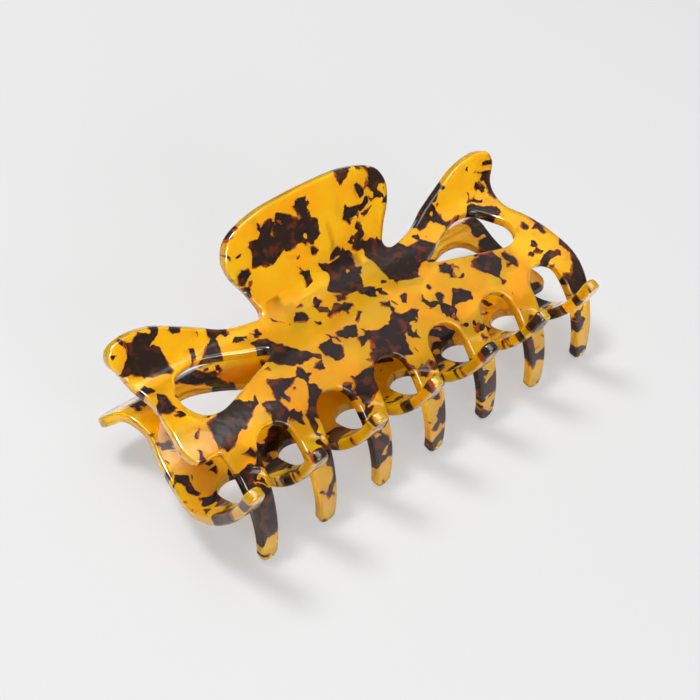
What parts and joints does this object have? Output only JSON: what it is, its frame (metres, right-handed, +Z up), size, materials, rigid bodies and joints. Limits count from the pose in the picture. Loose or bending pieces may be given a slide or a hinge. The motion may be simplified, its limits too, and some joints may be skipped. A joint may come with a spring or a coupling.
{
  "type": "claw clip",
  "caption": "Sprung hair claw clip of bent tortoiseshell-look sheet, with interleaving teeth, windowed wings and two press handles on a steel pin.",
  "frame": {"origin": "middle of the clip's bounding box, on the plane the clip lies on", "axes": "+X along the hinge pin, +Y from the teeth to the handles, +Z up from the plane the clip lies on, towards the top jaw"},
  "size_m": [0.1112, 0.06, 0.0476],
  "materials": {
    "acetate": "polished tortoiseshell-look cellulose acetate, clear golden amber with dark brown flakes",
    "steel": "bright drawn wire and rod"
  },
  "bodies": {
    "bottom_body": {"bottom_jaw": "acetate", "bottom_outer_lug": "acetate", "bottom_inner_lug": "acetate", "hinge_pin": "steel", "torsion_spring": "steel"},
    "top_body": {"top_jaw": "acetate", "top_outer_lug": "acetate", "top_inner_lug": "acetate"}
  },
  "joints": [
    {"name": "jaw_hinge", "type": "hinge", "parent": "bottom_body", "child": "top_body", "pos_m": [0, 0.01028, 0.02156], "axis": [-1, 0, 0], "range_deg": [0, 90], "stiffness_Nm_per_rad": 0.12, "springref_deg": -40.11, "deforming": ["torsion_spring"]}
  ]
}
